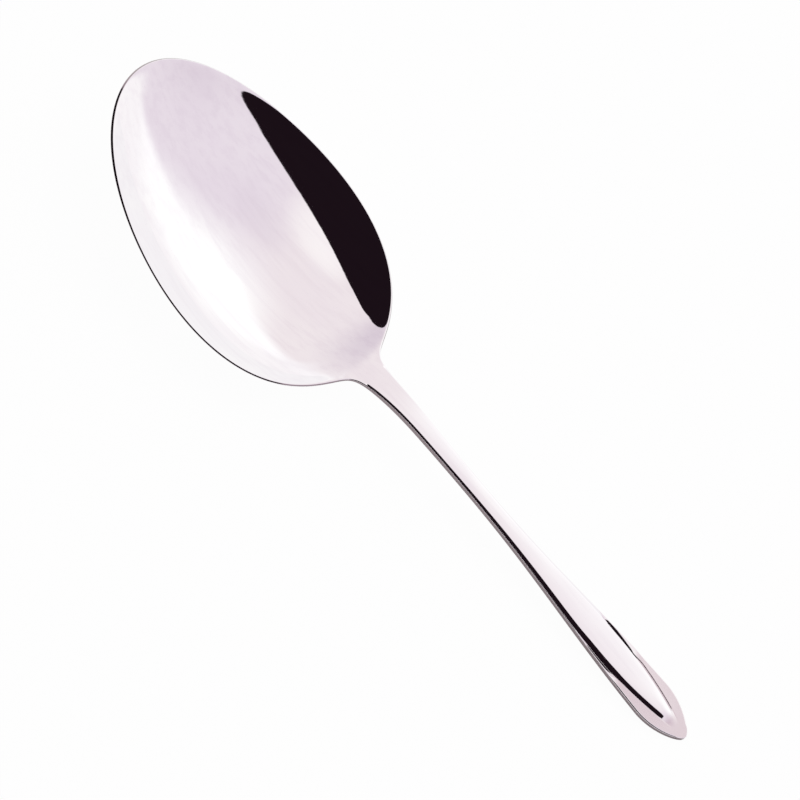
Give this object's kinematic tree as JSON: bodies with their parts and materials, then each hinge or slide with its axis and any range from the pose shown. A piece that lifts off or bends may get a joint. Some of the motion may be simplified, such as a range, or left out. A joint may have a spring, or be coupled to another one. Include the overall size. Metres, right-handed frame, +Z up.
{
  "type": "serving spoon",
  "caption": "One-piece polished steel serving spoon with a shallow oval bowl, a slim neck and a flaring handle with a raised bevelled spine.",
  "frame": {"origin": "middle of the spoon's box, on the table that it lies on", "axes": "+X along the spoon from the tip of the bowl to the end of the handle, +Y across it, +Z up out of the hollow"},
  "size_m": [0.2384, 0.0734, 0.0293],
  "materials": {
    "polished_steel": "mirror polished"
  },
  "bodies": {
    "root": {"bowl": "polished_steel", "neck": "polished_steel", "handle": "polished_steel"}
  },
  "joints": []
}
